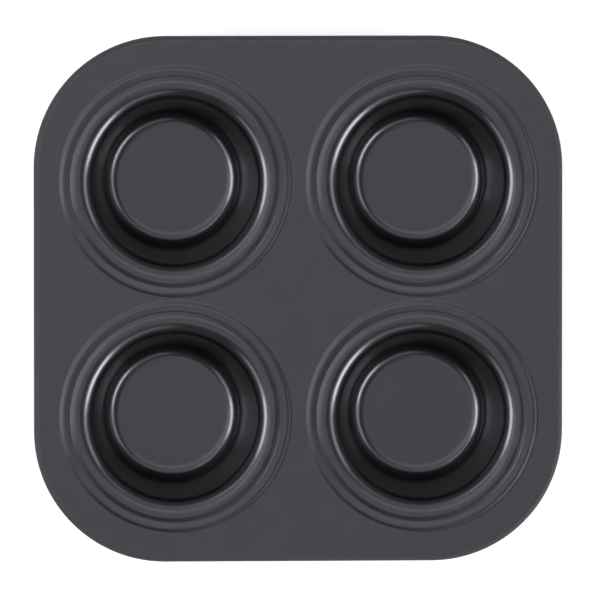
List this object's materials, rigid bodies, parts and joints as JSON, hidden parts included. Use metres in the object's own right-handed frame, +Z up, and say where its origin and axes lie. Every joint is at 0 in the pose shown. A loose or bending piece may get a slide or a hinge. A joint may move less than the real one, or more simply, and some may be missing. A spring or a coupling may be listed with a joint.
{
  "type": "muffin pan",
  "caption": "Square muffin pan with large rounded corners: round drafted cups with rolled mouths, locked into a flat plate whose edge is curled round a wire, dark grey non-stick coating.",
  "frame": {"origin": "on the surface that the pan stands on, under the middle of the plate, midway between the four cups", "axes": "+Z up out of the cups; +X to the right and +Y towards the back edge, along the plate's two pairs of straight edges"},
  "size_m": [0.2, 0.1988, 0.0305],
  "materials": {
    "plate_coating": "dark grey non-stick coating on pressed steel, satin, very fine grain",
    "cup_coating": "dark grey non-stick coating on drawn steel, satin, slightly smoother than the plate",
    "rim_wire_steel": "bare drawn steel wire, dull"
  },
  "bodies": {
    "root": {"top_plate": "plate_coating", "cup_back_left": "cup_coating", "cup_back_right": "cup_coating", "cup_front_left": "cup_coating", "cup_front_right": "cup_coating", "rim_wire": "rim_wire_steel"}
  },
  "joints": []
}
